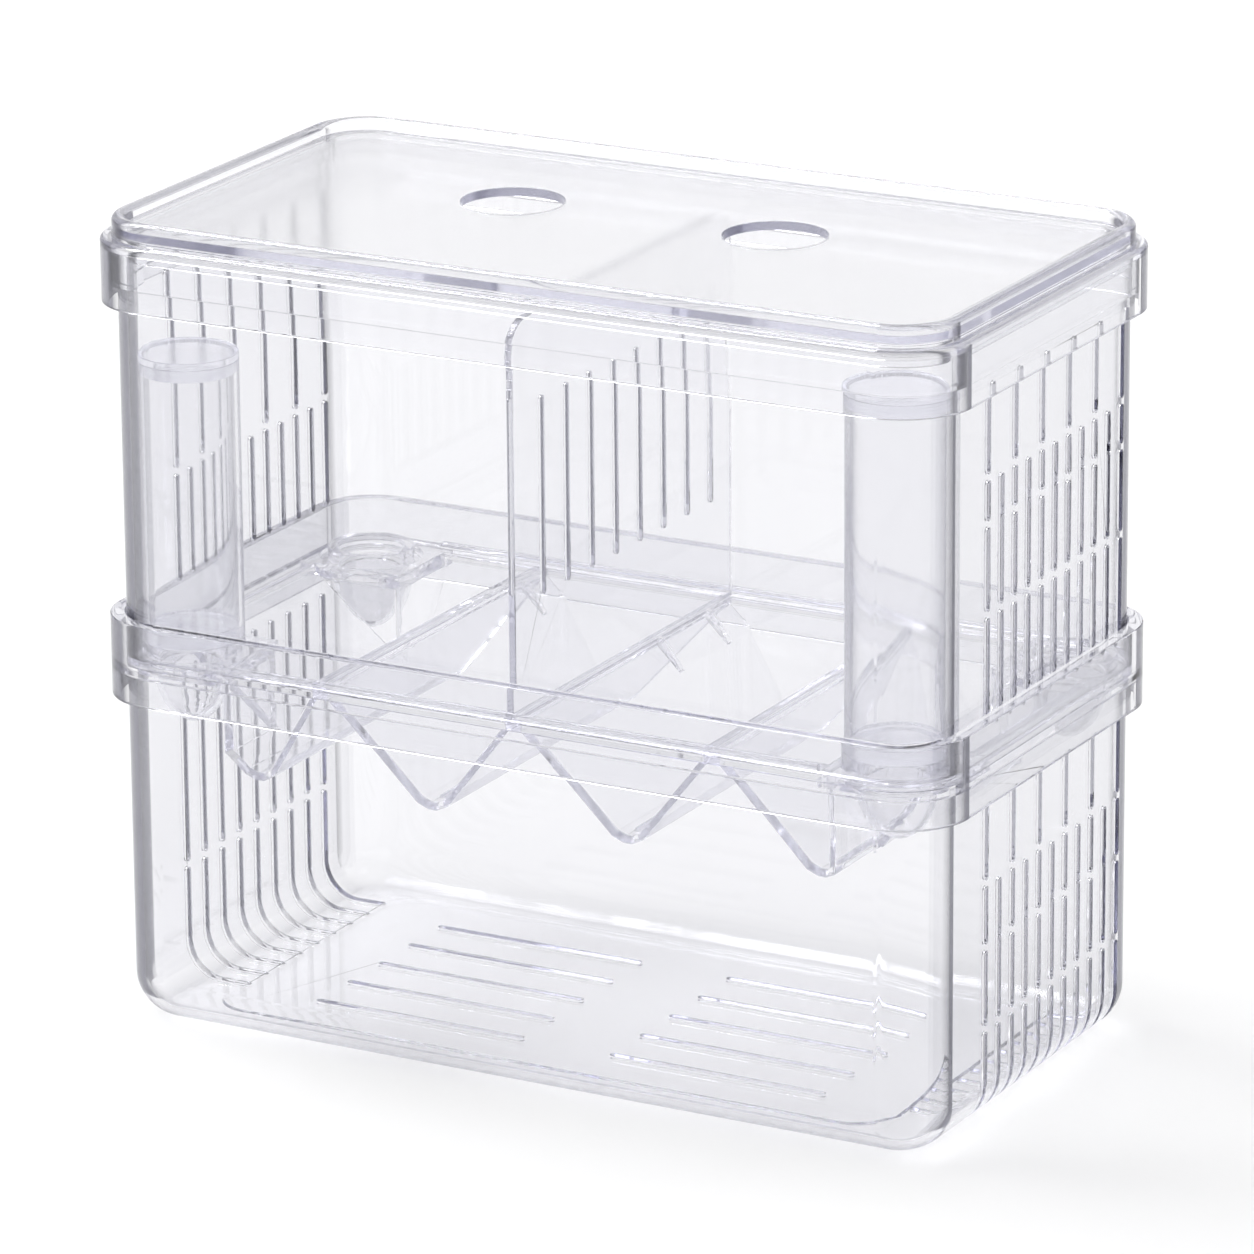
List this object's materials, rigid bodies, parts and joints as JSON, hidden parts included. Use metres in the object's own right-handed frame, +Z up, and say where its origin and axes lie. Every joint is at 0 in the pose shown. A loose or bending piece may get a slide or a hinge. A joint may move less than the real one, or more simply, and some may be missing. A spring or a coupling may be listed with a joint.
{
  "type": "fish breeding box",
  "caption": "Clear stacking fish breeding box: slitted lower tank, V-trough fry tray, upper room with divider, float tubes and a lift-off lid with feed holes.",
  "frame": {"origin": "centre of the base, on the surface that the box stands on", "axes": "+X along the length to the right, +Y to the back, +Z up"},
  "size_m": [0.2082, 0.1142, 0.184],
  "materials": {
    "clear_body": "clear, polished, faint lavender at the edges",
    "clear_tray": "clear, polished",
    "clear_sheet": "clear, polished",
    "clear_lid": "clear, polished",
    "milky_tube": "clear with a slight milky haze",
    "milky_cap": "milky"
  },
  "bodies": {
    "tank": {"lower_box": "clear_body"},
    "tray": {"fry_tray": "clear_tray"},
    "room": {"upper_box": "clear_body"},
    "cover": {"lid": "clear_lid"},
    "partition": {"divider": "clear_sheet"},
    "left_float": {"float_tube_left": "milky_tube", "tube_cap_left": "milky_cap", "tube_plug_left": "milky_cap"},
    "right_float": {"float_tube_right": "milky_tube", "tube_cap_right": "milky_cap", "tube_plug_right": "milky_cap"}
  },
  "joints": [
    {"name": "tray_lift", "type": "slide", "parent": "tank", "child": "tray", "axis": [0, 0, 1], "range_m": [0, 0.04]},
    {"name": "upper_lift", "type": "slide", "parent": "tray", "child": "room", "axis": [0, 0, 1], "range_m": [0, 0.1]},
    {"name": "lid_lift", "type": "slide", "parent": "room", "child": "cover", "axis": [0, 0, 1], "range_m": [0, 0.11]},
    {"name": "divider_lift", "type": "slide", "parent": "tray", "child": "partition", "axis": [0, 0, 1], "range_m": [0, 0.0968]},
    {"name": "left_float_lift", "type": "slide", "parent": "tray", "child": "left_float", "axis": [0, 0, 1], "range_m": [0, 0.0968]},
    {"name": "right_float_lift", "type": "slide", "parent": "tray", "child": "right_float", "axis": [0, 0, 1], "range_m": [0, 0.0968]}
  ],
  "couplings": [
    {"joint": "divider_lift", "follows": "lid_lift", "ratio": 0.88},
    {"joint": "left_float_lift", "follows": "lid_lift", "ratio": 0.88},
    {"joint": "right_float_lift", "follows": "lid_lift", "ratio": 0.88}
  ]
}
